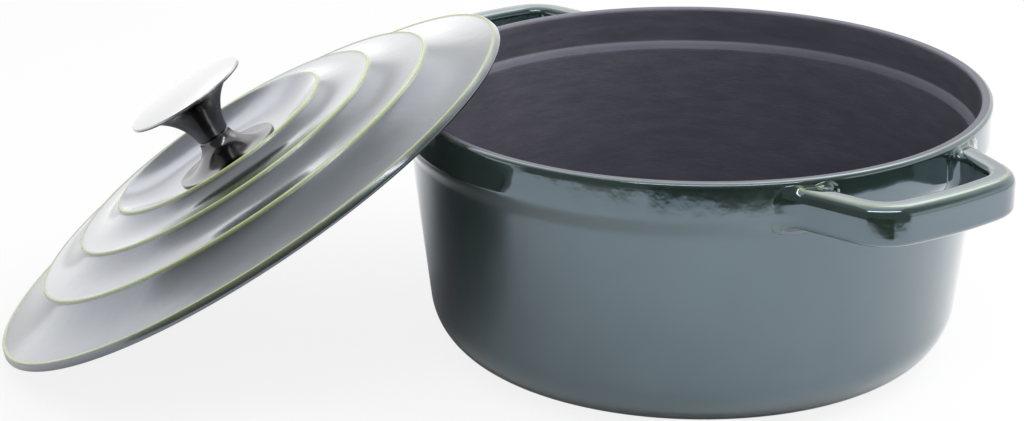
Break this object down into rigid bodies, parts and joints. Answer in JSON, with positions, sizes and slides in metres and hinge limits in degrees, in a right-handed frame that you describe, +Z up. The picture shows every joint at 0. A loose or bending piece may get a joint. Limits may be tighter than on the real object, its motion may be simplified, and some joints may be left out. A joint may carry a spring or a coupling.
{
  "type": "dutch oven",
  "caption": "Round enamelled cast iron dutch oven with two loop handles; its domed, ringed lid with a flared steel knob leans on the rim.",
  "frame": {"origin": "centre of the pot's flat base, on the axis of the pot", "axes": "+Z up along the pot's axis; X runs through the middles of the two loop handles; the lid leans out towards -X -Y"},
  "size_m": [0.4108, 0.4055, 0.1413],
  "materials": {
    "enamel_pot": "glossy bottle green enamel outside, matt black enamel inside, over cast iron",
    "enamel_lid": "glossy bottle green enamel on top, thin and pale on the ridges, black enamel below, over cast iron",
    "knob_steel": "polished stainless steel",
    "fastener_steel": "plain stainless steel"
  },
  "bodies": {
    "pot_body": {"pot": "enamel_pot"},
    "lid_body": {"lid": "enamel_lid", "knob_foot": "knob_steel", "knob_top": "knob_steel", "screw_washer": "fastener_steel", "lock_washer": "fastener_steel", "knob_screw": "fastener_steel"}
  },
  "joints": [
    {"name": "lid_lift", "type": "slide", "parent": "pot_body", "child": "lid_body", "axis": [0, 0, 1], "range_m": [0, 0.25]}
  ]
}
